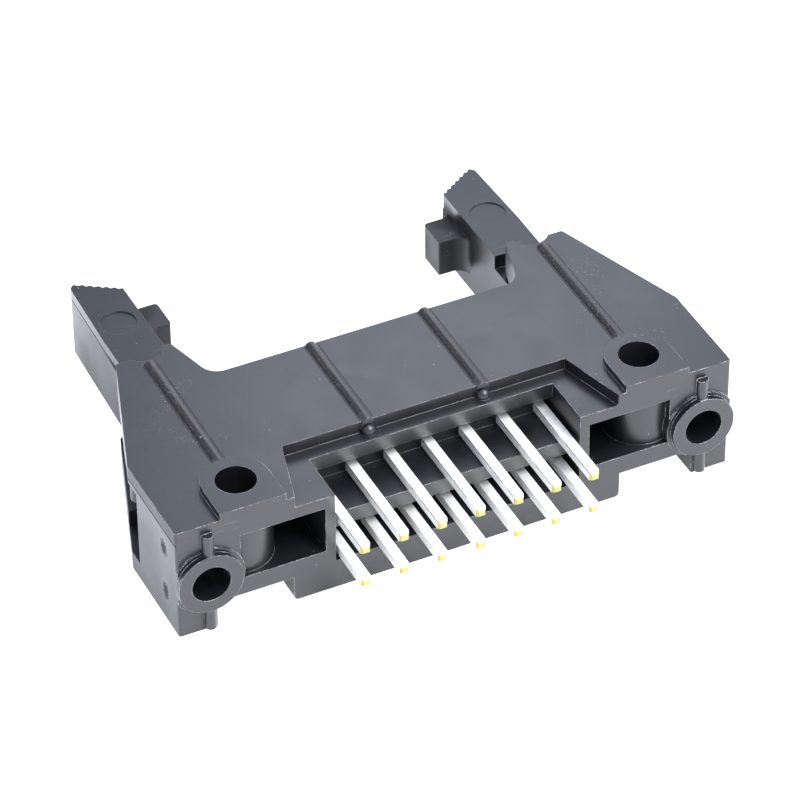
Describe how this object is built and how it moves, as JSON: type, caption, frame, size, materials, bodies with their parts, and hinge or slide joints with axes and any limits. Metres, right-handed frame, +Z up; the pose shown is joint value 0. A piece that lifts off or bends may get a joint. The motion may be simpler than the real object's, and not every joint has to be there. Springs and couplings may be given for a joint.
{
  "type": "shrouded pcb header",
  "caption": "Shrouded two-row pin header for a printed circuit board, with hinged ejector latches at both ends, standoff rings and side mounting holes.",
  "frame": {"origin": "on the lower long side face, halfway between the two side mounting holes", "axes": "+X along the header, +Y towards the mating side, away from the solder tails, +Z up out of the side it lies on"},
  "size_m": [0.0372, 0.0297, 0.0084],
  "materials": {
    "housing": "satin moulded, glass filled",
    "latch": "satin moulded, glass filled",
    "contact": "tin plated tails, gold plated mating ends"
  },
  "bodies": {
    "housing": {"housing": "housing", "contact_upper_1": "contact", "contact_upper_2": "contact", "contact_upper_3": "contact", "contact_upper_4": "contact", "contact_upper_5": "contact", "contact_upper_6": "contact", "contact_upper_7": "contact", "contact_lower_1": "contact", "contact_lower_2": "contact", "contact_lower_3": "contact", "contact_lower_4": "contact", "contact_lower_5": "contact", "contact_lower_6": "contact", "contact_lower_7": "contact"},
    "latch_left": {"latch_left": "latch"},
    "latch_right": {"latch_right": "latch"}
  },
  "joints": [
    {"name": "latch_left_hinge", "type": "hinge", "parent": "housing", "child": "latch_left", "pos_m": [-0.01345, 0.0054, 0.004], "axis": [0, 0, 1], "range_deg": [0, 45]},
    {"name": "latch_right_hinge", "type": "hinge", "parent": "housing", "child": "latch_right", "pos_m": [0.01345, 0.0054, 0.004], "axis": [0, 0, -1], "range_deg": [0, 45]}
  ]
}
